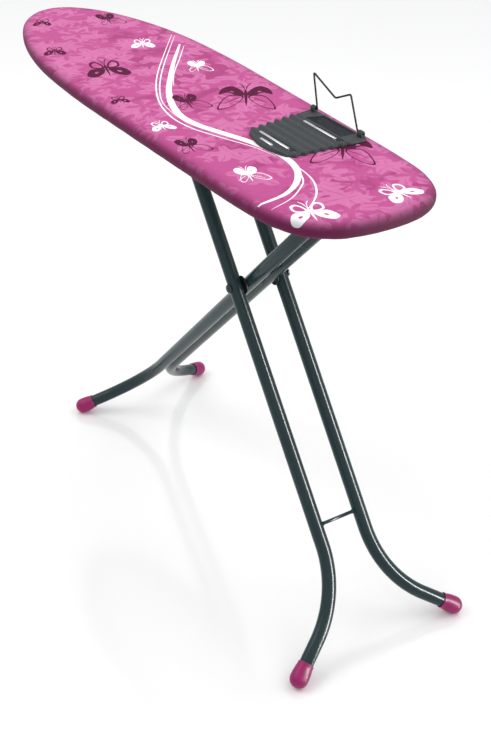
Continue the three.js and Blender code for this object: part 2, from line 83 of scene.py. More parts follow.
# Board plane: centre, span, heading in degrees and pattern of each printed butterfly
DARK_BUTTERFLIES = [
    ((-584, -64), 40, 155, "ringed"), ((-380, -121), 46, 159, "ringed"),
    ((-533, 72), 68, 168, "winged"), ((-50, -132), 36, 167, "ringed"),
    ((-224, -76), 86, 165, "ringed"), ((26, -28), 74, 166, "winged"),
    ((215, -128), 64, 169, "winged"), ((51, 82), 108, 150, "veined"),
    ((356, 88), 108, 145, "veined"),
]
WHITE_BUTTERFLIES = [
    ((-335, 60), 50, 157, "ringed"), ((-144, 86), 58, 156, "winged"),
    ((108, -125), 44, 171, "ringed"), ((367, -104), 62, 165, "winged"),
    ((534, -96), 76, 165, "ringed"), ((545, 62), 66, 190, "ringed"),
]
# Sweeping white lines: widest width and the points each passes through
SWEEPS = [
    (14.5, [(-290, 125), (-195, 60), (-115, 10), (-40, -33), (25, -60), (85, -73), (135, -68),
            (190, -50), (260, -27), (335, -15), (390, -26), (435, -58), (460, -95), (473, -152)]),
    (3.2, [(-360, 143), (-240, 60), (-130, -12), (-50, -54), (20, -80), (85, -90), (140, -85),
           (195, -67), (275, -36), (325, -25)]),
    (2.6, [(-350, 145), (-230, 62), (-125, -6), (-50, -47), (10, -71), (75, -80)]),
    (3.2, [(365, -18), (410, -21), (445, -30), (480, -49), (507, -74), (528, -102)]),
    (2.6, [(378, -20), (410, -31), (435, -44), (456, -65), (478, -95), (496, -142)]),
    (2.4, [(-280, 130), (-200, 75), (-130, 26), (-67, -9)]),
]

# ---- Small numeric helpers ----


def between(first, second, start, end, t):
    """The value at t on the line through first at start and second at end."""
    return first * (end - t) / (end - start) + second * (t - start) / (end - start)


def spline(points, per_span, closed):
    """Centripetal Catmull-Rom curve through the points, as an array."""
    points = [np.array(p, float) for p in points]
    count = len(points)
    if not closed:
        points = [2 * points[0] - points[1], *points, 2 * points[-1] - points[-2]]
    spans = count if closed else count - 1
    result = []
    for i in range(spans):
        if closed:
            p0, p1, p2, p3 = (points[(i + k - 1) % count] for k in range(4))
        else:
            p0, p1, p2, p3 = points[i:i + 4]
        t1 = math.sqrt(np.linalg.norm(p1 - p0))
        t2 = t1 + math.sqrt(np.linalg.norm(p2 - p1))
        t3 = t2 + math.sqrt(np.linalg.norm(p3 - p2))
        for step in range(per_span):
            t = t1 + (t2 - t1) * step / per_span
            a1 = between(p0, p1, 0, t1, t)
            a2 = between(p1, p2, t1, t2, t)
            a3 = between(p2, p3, t2, t3, t)
            b1 = between(a1, a2, 0, t2, t)
            b2 = between(a2, a3, t1, t3, t)
            result.append(between(b1, b2, t1, t2, t))
    if not closed:
        result.append(points[-2])
    return np.array(result)


def evenly(points, count):
    """A closed loop resampled to points an equal distance apart."""
    loop = np.vstack([points, points[:1]])
    lengths = np.concatenate([[0], np.cumsum(np.linalg.norm(np.diff(loop, axis=0), axis=1))])
    wanted = np.linspace(0, lengths[-1], count, endpoint=False)
    return np.stack([np.interp(wanted, lengths, loop[:, k]) for k in range(2)], axis=1)


def outward_normals(loop):
    along = np.roll(loop, -1, axis=0) - np.roll(loop, 1, axis=0)
    normals = np.stack([along[:, 1], -along[:, 0]], axis=1)
    normals /= np.linalg.norm(normals, axis=1, keepdims=True)
    return normals


def inside(points, loop):
    """Even-odd test of many points against one closed loop."""
    x, y = points[:, 0], points[:, 1]
    hit = np.zeros(len(points), bool)
    for (x0, y0), (x1, y1) in zip(loop, np.roll(loop, -1, axis=0)):
        if y0 != y1:
            crosses = (y0 > y) != (y1 > y)
            hit ^= crosses & (x < (x1 - x0) * (y - y0) / (y1 - y0) + x0)
    return hit


def smoothstep(values, low, high):
    t = np.clip((values - low) / (high - low), 0, 1)
    return t * t * (3 - 2 * t)


other_half = [(x, -y) for x, y in reversed(HALF_OUTLINE[1:-1])]
outline = evenly(spline(HALF_OUTLINE + other_half, 24, True), OUTLINE_POINTS)[::-1]
outline_normals = outward_normals(outline)


def board_loop(inset):
    return outline - outline_normals * inset


# ---- Materials ----


class Look:
    """A Principled material with short calls for the nodes it needs."""

    def __init__(self, name, color, roughness, **inputs):
        self.material = bpy.data.materials.new(name)
        self.material.use_nodes = True
        self.tree = self.material.node_tree
        self.shader = self.tree.nodes["Principled BSDF"]
        self.shader.inputs["Base Color"].default_value = (*color, 1)
        self.shader.inputs["Roughness"].default_value = roughness
        for key, value in inputs.items():
            self.shader.inputs[key.replace("_", " ")].default_value = value
        self.place = self.node("ShaderNodeTexCoord").outputs["Object"]

    def node(self, kind, **settings):
        made = self.tree.nodes.new(kind)
        for key, value in settings.items():
            setattr(made, key, value)
        return made

    def link(self, output, target):
        self.tree.links.new(output, target)

    def feed(self, socket, value):
        """Links another node's output, or sets a plain value."""
        if isinstance(value, bpy.types.NodeSocket):
            self.link(value, socket)
        else:
            socket.default_value = (*value, 1) if socket.type == "RGBA" else value

    def noise(self, scale, detail=2.0, distortion=0.0, stretch=None, output="Fac"):
        made = self.node("ShaderNodeTexNoise")
        made.inputs["Scale"].default_value = scale
        made.inputs["Detail"].default_value = detail
        made.inputs["Distortion"].default_value = distortion
        source = self.vector("MULTIPLY", self.place, stretch) if stretch else self.place
        self.link(source, made.inputs["Vector"])
        return made.outputs[output]

    def ramp(self, value, *stops):
        made = self.node("ShaderNodeValToRGB")
        while len(made.color_ramp.elements) < len(stops):
            made.color_ramp.elements.new(0.5)
        for element, (position, color) in zip(made.color_ramp.elements, stops):
            element.position = position
            element.color = (*color, 1)
        self.link(value, made.inputs["Fac"])
        return made.outputs["Color"]

    def mask(self, value, black_at, white_at):
        return self.ramp(value, (black_at, (0, 0, 0)), (white_at, (1, 1, 1)))

    def mix(self, factor, first, second):
        made = self.node("ShaderNodeMix", data_type="RGBA")
        for key, value in (("Factor", factor), (6, first), (7, second)):
            self.feed(made.inputs[key], value)
        return made.outputs[2]

    def math(self, operation, first, second=0):
        made = self.node("ShaderNodeMath", operation=operation)
        self.feed(made.inputs[0], first)
        self.feed(made.inputs[1], second)
        return made.outputs[0]

    def vector(self, operation, *values, scale=None):
        made = self.node("ShaderNodeVectorMath", operation=operation)
        for socket, value in zip(made.inputs, values):
            self.feed(socket, value)
        if scale:
            made.inputs["Scale"].default_value = scale
        return made.outputs[0]

    def components(self, vector):
        made = self.node("ShaderNodeSeparateXYZ")
        self.link(vector, made.inputs[0])
        return made.outputs

    def color(self, output):
        self.link(output, self.shader.inputs["Base Color"])

    def shade(self, color, noise, low, high):
        """The colour, made darker and lighter by two factors as the noise goes."""
        self.color(self.mix(noise, tinted(color, low), tinted(color, high)))

    def rough(self, value, low, high):
        grey = self.ramp(value, (0.3, (low,) * 3), (0.7, (high,) * 3))
        self.link(grey, self.shader.inputs["Roughness"])

    def bump(self, height, strength, distance_mm):
        made = self.node("ShaderNodeBump")
        made.inputs["Strength"].default_value = strength
        made.inputs["Distance"].default_value = distance_mm * MM
        self.link(height, made.inputs["Height"])
        self.link(made.outputs["Normal"], self.shader.inputs["Normal"])

    def weave(self, threads_per_metre):
        """Height of a plain weave: two crossed sets of threads."""
        waves = []
        for direction in ("X", "Y"):
            made = self.node("ShaderNodeTexWave", wave_type="BANDS", bands_direction=direction)
            made.inputs["Scale"].default_value = threads_per_metre / 20
            self.link(self.place, made.inputs["Vector"])
            waves.append(made.outputs["Fac"])
        return self.math("MAXIMUM", *waves)


PINK_MID = (0.465, 0.070, 0.252)
PINK_LIGHT = (0.590, 0.157, 0.368)
PINK_DEEP = (0.370, 0.043, 0.184)
# Painted shade: the deep maroon that the cover darkens to down its side and underneath
PINK_PAINTED_SHADE = (0.095, 0.004, 0.040)
PRINT_WHITE = (0.97, 0.93, 0.96)
PRINT_DARK = (0.078, 0.001, 0.030)
THREADS_PER_METRE = 900


def lobed_shapes(look, pitch_mm, lobes, depth, reach):
    """Scattered flat shapes with lobes, like petals and leaves pressed from one stamp and turned at
    random. Gives a factor that is 1 within a shape, and one that is 1 along its veins."""
    per_metre = 1000 / pitch_mm
    bent = look.vector("MULTIPLY_ADD", look.noise(60, output="Color"), (0.012, 0.012, 0), look.place)
    cells = look.node("ShaderNodeTexVoronoi", voronoi_dimensions="2D")
    cells.inputs["Scale"].default_value = per_metre
    look.link(bent, cells.inputs["Vector"])
    place = look.vector("SCALE", bent, scale=per_metre)
    centre = look.vector("SCALE", cells.outputs["Position"], scale=per_metre)
    offset = look.components(look.vector("SUBTRACT", place, centre))
    angle = look.math("ARCTAN2", offset["Y"], offset["X"])
    chance = look.components(cells.outputs["Color"])
    turned = look.math("ADD", angle, look.math("MULTIPLY", chance["X"], 6.283))
    wave = look.math("COSINE", look.math("MULTIPLY", turned, lobes))
    rim = look.math("ADD", look.math("MULTIPLY", wave, depth), reach)
    size = look.math("ADD", look.math("MULTIPLY", chance["Y"], 0.5), 0.7)
    margin = look.math("SUBTRACT", look.math("MULTIPLY", rim, size), cells.outputs["Distance"])
    within = look.mask(margin, 0.0, 0.035)
    ridge = look.math("MULTIPLY", look.math("ADD", wave, 1.0), 0.5)
    return within, look.math("MULTIPLY", look.mask(ridge, 0.955, 0.985), within)


def floral_colour(look):
    """Tonal print: pale flowers and leaves lying over each other on a mid pink, with deeper veins."""
    clouds = look.noise(9, 2.0, 0.8)
    colour = look.ramp(clouds, (0.40, PINK_DEEP), (0.47, PINK_MID), (0.60, PINK_MID))
    layers = ((96, 5, 0.13, 0.40, PINK_LIGHT, 0.85), (64, 3, 0.14, 0.36, PINK_LIGHT, 0.75),
              (78, 5, 0.16, 0.28, PINK_MID, 0.9))
    for pitch_mm, lobes, depth, reach, tint, strength in layers:
        within, vein = lobed_shapes(look, pitch_mm, lobes, depth, reach)
        colour = look.mix(look.math("MULTIPLY", within, strength), colour, tint)
        colour = look.mix(look.math("MULTIPLY", vein, 0.4), colour, PINK_DEEP)
    return colour


def tinted(color, factor):
    return tuple(c * factor for c in color)


def cloth_look(name, colour=None):
    """Printed cotton: the ground pattern, or one flat print ink, over the same weave."""
    sheen = 0.0 if colour else 0.05
    look = Look(name, colour or PINK_MID, 0.8, Sheen_Weight=sheen, Specular_IOR_Level=0.15)
    if colour:
        faded = tuple(0.93 * c + 0.07 * ground for c, ground in zip(colour, PINK_MID))
        top = look.mix(look.mask(look.noise(260, 2), 0.45, 0.7), colour, faded)
    else:
        top = floral_colour(look)
    # Painted shade: the edge attribute darkens the print or the ink towards and round the board's side
    edge = look.node("ShaderNodeAttribute", attribute_name="edge").outputs["Fac"]
    look.color(look.mix(edge, top, tinted(colour, 0.5) if colour else PINK_PAINTED_SHADE))
    look.bump(look.weave(THREADS_PER_METRE), 0.35, 0.25)
    return look.material


def painted_look(name, color, roughness):
    look = Look(name, color, roughness, Specular_IOR_Level=0.21, Coat_Weight=0.08, Coat_Roughness=0.04)
    look.shade(color, look.noise(7, 3), 0.85, 1.15)
    look.rough(look.noise(30, 2), roughness - 0.03, roughness + 0.05)
    look.bump(look.noise(120, 1), 0.02, 0.1)
    return look.material


def moulded_look(name, color, roughness, grain_mm=0.25, subsurface=0.0, specular=0.3):
    look = Look(name, color, roughness, Subsurface_Weight=subsurface, Specular_IOR_Level=specular)
    look.shader.inputs["Subsurface Scale"].default_value = 0.004
    look.shade(color, look.noise(35, 3), 0.88, 1.1)
    look.rough(look.noise(120, 3), roughness - 0.06, roughness + 0.08)
    look.bump(look.noise(1400, 3), 0.25, grain_mm)
    return look.material


def metal_look(name, color, roughness, brushed=None):
    look = Look(name, color, roughness, Metallic=1.0)
    look.shade(color, look.noise(22, 4), 0.86, 1)
    look.rough(look.noise(300, 4, 0, brushed), roughness - 0.08, roughness + 0.12)
    look.bump(look.noise(500, 3, 0, brushed), 0.15, 0.1)
    return look.material


MAGENTA = (0.285, 0.006, 0.105)
cloth = cloth_look("printed_cotton")
white_ink = cloth_look("white_print", PRINT_WHITE)
dark_ink = cloth_look("dark_print", PRINT_DARK)
foam = moulded_look("open_cell_foam", (0.80, 0.76, 0.66), 0.9, 0.6)
tube_paint = painted_look("anthracite_enamel", (0.012, 0.030, 0.034), 0.22)
cap_plastic = moulded_look("magenta_plastic", MAGENTA, 0.36, 0.1, 0.03)
grip_plastic = moulded_look("grip_plastic", MAGENTA, 0.5, 0.3)
black_plastic = moulded_look("black_plastic", (0.014, 0.014, 0.015), 0.45)
mat_rubber = moulded_look("ribbed_rubber", (0.045, 0.052, 0.055), 0.62, 0.35, specular=0.2)
mat_dark = moulded_look("rest_panel", (0.008, 0.011, 0.017), 0.5, 0.15, specular=0.12)
wire_coat = painted_look("black_wire_coat", (0.012, 0.013, 0.014), 0.3)
panel_paint = painted_look("grey_panel_paint", (0.50, 0.52, 0.53), 0.4)
zinc = metal_look("zinc_plate", (0.62, 0.63, 0.64), 0.34)
bolt_black = metal_look("blackened_bolt", (0.055, 0.060, 0.062), 0.4)
strip_metal = metal_look("brushed_strip", (0.70, 0.71, 0.72), 0.28, (1, 30, 30))
elastic = cloth_look("hem_binding", (0.22, 0.015, 0.095))
# The part's material slot name for each look, where it is always the same one; piece looks it up but does not use
# it
SLOTS = {
    cloth: "cover_fabric", elastic: "cover_fabric", foam: "foam", tube_paint: "painted_tube",
    cap_plastic: "foot_cap_plastic", grip_plastic: "grip_plastic", wire_coat: "black_wire",
    panel_paint: "panel_metal", strip_metal: "strip_metal",
}

# ---- Mesh helpers ----


def piece(name, vertices, faces, materials, body, replaced=None, smooth=True, slot=None):
    """A mesh object in millimetres that rides on a CAD body and stands for a CAD node."""
    mesh = bpy.data.meshes.new(name)
    mesh.from_pydata((np.asarray(vertices, float) * MM).tolist(), [], faces)
    mesh.validate()
    mesh.update()
    materials = materials if isinstance(materials, list) else [materials]
    for item in materials:
        mesh.materials.append(item)
    mesh.polygons.foreach_set("use_smooth", [smooth] * len(mesh.polygons))
    made = bpy.data.objects.new(name, mesh)
    bpy.context.collection.objects.link(made)
    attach(made, body)
    if replaced:
        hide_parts(replaced)
    slot = slot or SLOTS.get(materials[0])
    return made


def box_mm(node):
    """Low and high corner of a CAD node's box, in millimetres."""
    return [np.array(corner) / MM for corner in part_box(node)]


def heights(node):
    return [corner[2] for corner in box_mm(node)]


def sharpen(made, degrees):
    """Keeps edges steeper than an angle crisp under smooth shading."""
    made.data.set_sharp_from_angle(angle=math.radians(degrees))
    return made


def bridge(ring_count, sides, wrap_rings=False):
    """Quads between successive rings of vertices."""
    faces = []
    for ring in range(ring_count if wrap_rings else ring_count - 1):
        a = ring * sides
        b = ((ring + 1) % ring_count) * sides
        faces += [(a + i, a + (i + 1) % sides, b + (i + 1) % sides, b + i) for i in range(sides)]
    return faces


# Share of the radius, and distance in from the end in radii, over a bar's rounded end
END_ROUNDING = [(0.72, 0.0), (0.93, 0.12), (1.0, 0.32)]


def tube(name, path, radius, material, body, replaced, sides=TUBE_SIDES, closed=False):
    """A round bar along a path, with slightly rounded ends unless it is a closed ring."""
    path = [Vector(p) for p in path]
    before, after = [path[-1], *path[:-1]], [*path[1:], path[0]]
    if not closed:
        before[0], after[-1] = path[0], path[-1]
    tangents = [(b - a).normalized() for a, b in zip(before, after)]
    side = tangents[0].orthogonal().normalized()
    rings = []
    for point, tangent in zip(path, tangents):
        side = (side - tangent * side.dot(tangent)).normalized()
        rings.append((point, tangent, side, tangent.cross(side), 1.0, 0.0))
    if not closed:
        rings[:1] = [(*rings[0][:4], scale, shift * radius) for scale, shift in END_ROUNDING]
        rings[-1:] = [(*rings[-1][:4], scale, -shift * radius) for scale, shift in reversed(END_ROUNDING)]
    vertices = []
    for point, tangent, across, other, scale, shift in rings:
        for k in range(sides):
            angle = 2 * math.pi * k / sides
            offset = (across * math.cos(angle) + other * math.sin(angle)) * radius * scale
            vertices.append(point + tangent * shift + offset)
    faces = bridge(len(rings), sides, closed)
    if not closed:
        faces.append(tuple(range(sides - 1, -1, -1)))
        faces.append(tuple(range(len(vertices) - sides, len(vertices))))
    return piece(name, vertices, [face[::-1] for face in faces], material, body, replaced)


def lathe(name, profile, centre, material, body, replaced=None, axis=(0, 1, 0), sides=40, slot=None,
          sharp=35):
    """A turned solid, lying across the board unless the axis says otherwise. The profile is (radius,
    distance along the axis) pairs; it closes on itself or starts and ends on the axis."""
    axis = Vector(axis).normalized()
    first = axis.orthogonal().normalized()
    second = axis.cross(first)
    on_axis = profile[0][0] == 0 and profile[-1][0] == 0
    rows = profile[1:-1] if on_axis else profile
    vertices = []
    for radius, distance in rows:
        for k in range(sides):
            angle = 2 * math.pi * k / sides
            offset = first * math.cos(angle) * radius + second * math.sin(angle) * radius
            vertices.append(Vector(centre) + axis * distance + offset)
    faces = bridge(len(rows), sides, not on_axis)
    if on_axis:
        for row, (_, distance) in ((0, profile[0]), (len(rows) - 1, profile[-1])):
            tip = len(vertices)
            vertices.append(Vector(centre) + axis * distance)
            ring = range(row * sides, (row + 1) * sides)
            faces += [(a, b, tip) for a, b in zip(ring, [*ring[1:], ring[0]])]
    made = piece(name, vertices, faces, material, body, replaced, slot=slot)
    fix_normals(made)
    return sharpen(made, sharp)


def mirrored(profile):
    """A turned profile followed by its mirror image about the middle."""
    return profile + [(radius, -distance) for radius, distance in reversed(profile)]


def fix_normals(made):
    """Turns all faces of a closed mesh outwards."""
    work = bmesh.new()
    work.from_mesh(made.data)
    bmesh.ops.recalc_face_normals(work, faces=work.faces)
    work.to_mesh(made.data)
    work.free()


def board_rings(profile):
    """The board's outline at each (inset, z) pair of a section, as one list of vertices."""
    return [(x, y, z) for inset, z in profile for x, y in board_loop(inset)]


def triangulate(points, loops, boundary):
    """Constrained triangulation of scattered points and closed loops, kept inside the boundary."""
    coordinates = [Vector(p) for p in points]
    edges = []
    for loop in loops:
        start = len(coordinates)
        coordinates += [Vector(p) for p in loop]
        edges += [(start + i, start + (i + 1) % len(loop)) for i in range(len(loop))]
    found = delaunay_2d_cdt(coordinates, edges, [], 0, 1e-4, False)
    vertices = np.array([tuple(v) for v in found[0]])
    faces = np.array([tuple(f) for f in found[2]])
    centres = vertices[faces].mean(axis=1)
    return vertices, faces[inside(centres, boundary)]


# ---- Printed artwork on the cover ----


def shrunk(loop, factor):
    centre = loop.mean(axis=0)
    return centre + (loop - centre) * factor


# A butterfly's length for its span in the middle of the board, and how that falls per mm along X
WING_LENGTH = 2.1
WING_LENGTH_FALL = 0.0008
# Wing outlines of three plain butterflies, for a span of 1 with the head towards +X: the front
# wing, how much of it is cut out, the hind wing, and how much of that is cut out
WINGS = {
    "ringed": (
        [(0.03, 0.03), (0.17, 0.09), (0.25, 0.22), (0.20, 0.34), (0.07, 0.33), (0.01, 0.16)], 0.66,
        [(0.0, 0.04), (0.02, 0.22), (0.0, 0.38), (-0.17, 0.51), (-0.24, 0.40), (-0.20, 0.22),
         (-0.10, 0.08)], 0.22,
    ),
    "veined": (
        [(0.02, 0.02), (0.15, 0.09), (0.24, 0.26), (0.17, 0.42), (0.04, 0.47), (0.08, 0.30),
         (0.0, 0.14)], 0.16,
        [(-0.01, 0.04), (0.02, 0.26), (-0.05, 0.38), (-0.32, 0.50), (-0.31, 0.36), (-0.22, 0.20),
         (-0.11, 0.08)], 0.87,
    ),
    "winged": (
        [(0.03, 0.03), (0.20, 0.06), (0.28, 0.17), (0.22, 0.30), (0.10, 0.28), (0.0, 0.10)], 0.12,
        [(-0.01, 0.04), (0.04, 0.24), (-0.02, 0.40), (-0.20, 0.54), (-0.24, 0.40), (-0.18, 0.22),
         (-0.09, 0.08)], 0.86,
    ),
}
BUTTERFLY_BODY = [
    (0.16, 0.0), (0.08, 0.028), (-0.06, 0.026), (-0.24, 0.0), (-0.06, -0.026), (0.08, -0.028),
]


def butterfly(centre, span, heading, pattern):
    """Shapes of a plain butterfly; each shape is a list of loops, a first one and its holes."""
    front_points, front_cut, hind_points, hind_cut = WINGS[pattern]
    front = spline(front_points, 6, True)
    hind = spline(hind_points, 6, True)
    body = spline(BUTTERFLY_BODY, 4, True)
    feeler = ribbon([(0.14, 0.01), (0.24, 0.04), (0.32, 0.11)], 0.022)
    vein = ribbon([(-0.02, 0.05), (-0.08, 0.20), (-0.17, 0.36)], 0.014)
    shapes = [[body]]
    for mirror in (1, -1):
        flip = np.array([1, mirror])
        half_shut = pattern == "winged" and mirror == 1
        hind_side = hind * (1.0, 0.55) if half_shut else hind
        wings = [[front, shrunk(front, front_cut)], [hind_side, shrunk(hind_side, hind_cut)]]
        shapes += [[loop * flip for loop in wing] for wing in wings]
        shapes.append([feeler * flip])
        if hind_cut > 0.5:
            shapes.append([vein * flip])
    angle = math.radians(heading)
    turn = np.array([[math.cos(angle), math.sin(angle)], [-math.sin(angle), math.cos(angle)]])
    size = np.array([WING_LENGTH - WING_LENGTH_FALL * centre[0], 1.0]) * span
    return [[(loop * size) @ turn + np.array(centre) for loop in shape] for shape in shapes]


def ribbon(points, width):
    """A loop round a curve, widest in its middle and fine at both ends."""
    line = spline(points, 7, False)
    along = np.gradient(line, axis=0)
    normals = np.stack([-along[:, 1], along[:, 0]], axis=1)
    normals /= np.linalg.norm(normals, axis=1, keepdims=True)
    share = np.linspace(0, 1, len(line))
    half = width / 2 * (0.25 + 0.75 * np.sin(math.pi * share) ** 0.7)
    return np.vstack([line + normals * half[:, None], (line - normals * half[:, None])[::-1]])


def printed(faces_at, shapes):
    """Which face centres lie in any of the shapes."""
    hit = np.zeros(len(faces_at), bool)
    for shape in shapes:
        within = np.zeros(len(faces_at), bool)
        for loop in shape:
            within ^= inside(faces_at, loop)
        hit |= within
    return hit


# ---- Cover: one sheet of cloth, wrapped round the edge and gathered underneath ----


def wrap(flat, top, bottom):
    """Carries points of the flat cloth over the board: level on top, round the edge, then under it.
    Returns the places and how far each lies beyond the flat top, with minus signs within it."""
    base = board_loop(EDGE_ROUND)
    following = np.roll(base, -1, axis=0)
    places = np.column_stack([flat, np.full(len(flat), top)])
    beyond = np.full(len(flat), -RIM_SHADE)
    within = inside(flat, base)
    near_rim = ~inside(flat, board_loop(EDGE_ROUND + RIM_SHADE))
    for index in np.where(near_rim)[0]:
        point = flat[index]
        along = following - base
        share = np.clip(((point - base) * along).sum(1) / (along ** 2).sum(1), 0, 1)
        nearest = base + along * share[:, None]
        distances = np.linalg.norm(point - nearest, axis=1)
        best = int(distances.argmin())
        travel = distances[best]
        if within[index]:
            beyond[index] = -travel
        elif travel > 1e-6:
            direction = (point - nearest[best]) / travel
            reach, z = edge_profile(travel, top, bottom)
            gather = gathering(best + share[best], travel)
            places[index, :2] = nearest[best] + direction * (reach + gather[0])
            places[index, 2] = z + gather[1]
            beyond[index] = travel
    return places, beyond


def painted_rim_shade(beyond):
    """Painted shade towards the edge: how much the pink darkens, a little on top, then fully down the side."""
    return 0.24 * smoothstep(beyond, -RIM_SHADE, 2) + 0.72 * smoothstep(beyond, 0, 19)


def edge_profile(travel, top, bottom):
    """Distance out from the flat top's rim, and height, after travelling over the rolled edge."""
    quarter = math.pi / 2 * EDGE_ROUND
    straight = (top - bottom) - 2 * EDGE_ROUND
    if travel < quarter:
        angle = travel / EDGE_ROUND
        return EDGE_ROUND * math.sin(angle), top - EDGE_ROUND * (1 - math.cos(angle))
    if travel < quarter + straight:
        return EDGE_ROUND, top - EDGE_ROUND - (travel - quarter)
    if travel < 2 * quarter + straight:
        angle = (travel - quarter - straight) / EDGE_ROUND
        return EDGE_ROUND * math.cos(angle), bottom + EDGE_ROUND * (1 - math.sin(angle))
    return -(travel - 2 * quarter - straight), bottom


def gathering(position, travel):
    """The elastic's puckers: none on the side, growing towards the hem."""
    amount = smoothstep(travel, 26, 66)
    turn = 2 * math.pi * position / OUTLINE_POINTS
    ripple = math.sin(turn * 61 + 1.3 * math.sin(turn * 9)) + 0.6 * math.sin(turn * 97 + 2.0)
    return 2.0 * amount * math.sin(turn * 43), max(0.0, 2.0 * amount * ripple)


def printed_shapes():
    """The white and the dark shapes of the print, in the plane of the cloth."""
    sweeps = [[ribbon(points, width)] for width, points in SWEEPS]
    white, dark = (
        [shape for item in items for shape in butterfly(*item)]
        for items in (WHITE_BUTTERFLIES, DARK_BUTTERFLIES)
    )
    return sweeps + white, dark


def flat_cloth(edge, white, dark):
    """The cloth laid flat, cut along the print: rings round the edge and a square grid within."""
    base = board_loop(EDGE_ROUND)
    roll = math.pi * EDGE_ROUND
    travels = np.concatenate([np.linspace(0, roll + 4, 15), np.linspace(roll + 9, edge, 6)])
    rings = [base + outline_normals * travel for travel in travels]
    xs, ys = np.meshgrid(np.arange(-700, 700, CLOTH_GRID), np.arange(-200, 200, CLOTH_GRID))
    inner = np.column_stack([xs.ravel(), ys.ravel()])
    inner = inner[inside(inner, board_loop(EDGE_ROUND + 5))]
    loops = [loop for shape in white + dark for loop in shape]
    points = np.vstack([*rings[:-1], inner])
    return triangulate(points, loops + [rings[-1]], base + outline_normals * (edge - 0.01))


def soft_waves(x, y):
    """Slight unevenness of the padded top, between -1.7 and 1.7."""
    return np.sin(x * 0.021 + 1.1 * np.sin(y * 0.03)) + 0.7 * np.sin(x * 0.013 - y * 0.045 + 2)


def make_cover():
    bottom, top = heights("cover")
    cloth_edge = math.pi * EDGE_ROUND + (top - bottom - 2 * EDGE_ROUND) + HEM_RETURN
    white, dark = printed_shapes()
    flat, faces = flat_cloth(cloth_edge, white, dark)
    centres = flat[faces].mean(axis=1)
    ink = np.where(printed(centres, dark), 2, np.where(printed(centres, white), 1, 0))
    places, beyond = wrap(flat, top, bottom)
    on_top = 1 - smoothstep(beyond, 0, 8)
    places[:, 2] -= on_top * TOP_UNEVENNESS * (1 + soft_waves(flat[:, 0], flat[:, 1]) / 1.7)
    cover = piece("cover_cloth", places, faces.tolist(), [cloth, white_ink, dark_ink], "board", "cover")
    cover.data.polygons.foreach_set("material_index", ink.astype(np.int32))
    # Painted shade on the cloth, growing over the rolled edge and underneath
    shade = cover.data.attributes.new("edge", "FLOAT", "POINT")
    shade.data.foreach_set("value", painted_rim_shade(beyond).astype(np.float32))
    cover.data.update()
    casing_path = hem_path(EDGE_ROUND + HEM_RETURN + 1, bottom + 2.5)
    casing = tube("hem_casing", casing_path, 2.4, elastic, "board", "hem_elastic", sides=12, closed=True)


def hem_path(inset, z):
    path = []
    for i, (x, y) in enumerate(board_loop(inset)):
        turn = 2 * math.pi * i / OUTLINE_POINTS
        path.append((x, y, z + 0.5 * math.sin(turn * 61)))
    return path


def make_foam():
    bottom, top = heights("foam_pad")
    profile = [(40, bottom), (4, bottom), (2.6, bottom + 1.5), (2.8, bottom + 4)]
    profile += [(5.5, top - 1.5), (9, top), (40, top)]
    faces = bridge(len(profile), OUTLINE_POINTS)
    last = (len(profile) - 1) * OUTLINE_POINTS
    faces += [tuple(range(OUTLINE_POINTS))[::-1], tuple(last + k for k in range(OUTLINE_POINTS))]
    pad = piece("foam_slab", board_rings(profile), faces, foam, "board", "foam_pad")
    fix_normals(pad)


def panel_holes():
    """Rows of round holes, every other row shifted, left out at the edge and under fixings."""
    angles = np.linspace(0, 2 * math.pi, 12, endpoint=False)
    disc = np.column_stack([np.cos(angles), np.sin(angles)]) * HOLE_RADIUS
    clear = board_loop(PANEL_INSET + 22)
    row_height = HOLE_PITCH * math.sqrt(3) / 2
    holes = []
    for row in range(-8, 9):
        y = row * row_height
        shift = HOLE_PITCH / 2 if row % 2 else 0
        for x in np.arange(-700 + shift, 700, HOLE_PITCH):
            plain = any(x0 < x < x1 and y0 < abs(y) < y1 for x0, x1, y0, y1 in PLAIN_PATCHES)
            if not plain and inside(np.array([[x, y]]), clear)[0]:
                holes.append(disc + (x, y))
    return holes


def make_panel_sheet(top):
    rim = board_loop(PANEL_INSET + 2)
    holes = panel_holes()
    flat, faces = triangulate(rim, [*holes, rim], rim - outline_normals * 0.01)
    centres = flat[faces].mean(axis=1)
    middles = np.array([hole.mean(axis=0) for hole in holes])
    solid = [np.linalg.norm(middles - c, axis=1).min() > HOLE_RADIUS * 0.9 for c in centres]
    faces = faces[np.array(solid)].tolist()
    count = len(flat)
    upper = np.column_stack([flat, np.full(count, top)])
    lower = np.column_stack([flat, np.full(count, top - PANEL_SKIN)])
    edges = dict.fromkeys(edge for a, b, c in faces for edge in ((a, b), (b, c), (c, a)))
    walls = [(a, a + count, b + count, b) for a, b in edges if (b, a) not in edges]
    underside = [(c + count, b + count, a + count) for a, b, c in faces]
    sheet = piece("perforated_panel", np.vstack([upper, lower]), faces + underside + walls, panel_paint,
                  "board", "board_panel", smooth=False)
    fix_normals(sheet)


def make_panel():
    """A perforated steel sheet with a folded rim."""
    bottom, top = heights("board_panel")
    make_panel_sheet(top)
    outer = PANEL_INSET
    section = [
        (outer + 4, top - PANEL_SKIN), (outer + 4, top), (outer + 1, top), (outer, top - 1.4),
        (outer, bottom + 1), (outer + 1, bottom), (outer + 2.4, bottom + 0.4),
        (outer + 2.4, bottom + 1.6), (outer + 1.3, bottom + 1.4), (outer + 1.3, top - 2.2),
        (outer + 1.9, top - PANEL_SKIN),
    ]
    faces = bridge(len(section), OUTLINE_POINTS, True)
    rim = piece("panel_rim", board_rings(section), faces, panel_paint, "board")
    fix_normals(rim)


# ---- Legs ----
JOINTS = {joint["name"]: joint for joint in frame["joints"]}
MOUNTS = {mount["name"]: mount for mount in frame["record"]["mounts"]}


def joint_place(name):
    return Vector(JOINTS[name]["pos_m"]) / MM


SIDES = (("near", -1), ("far", 1))
SCISSOR = joint_place("scissor_pivot")
HINGE = joint_place("leg_fold")
CARRIAGE = joint_place("carriage_level")


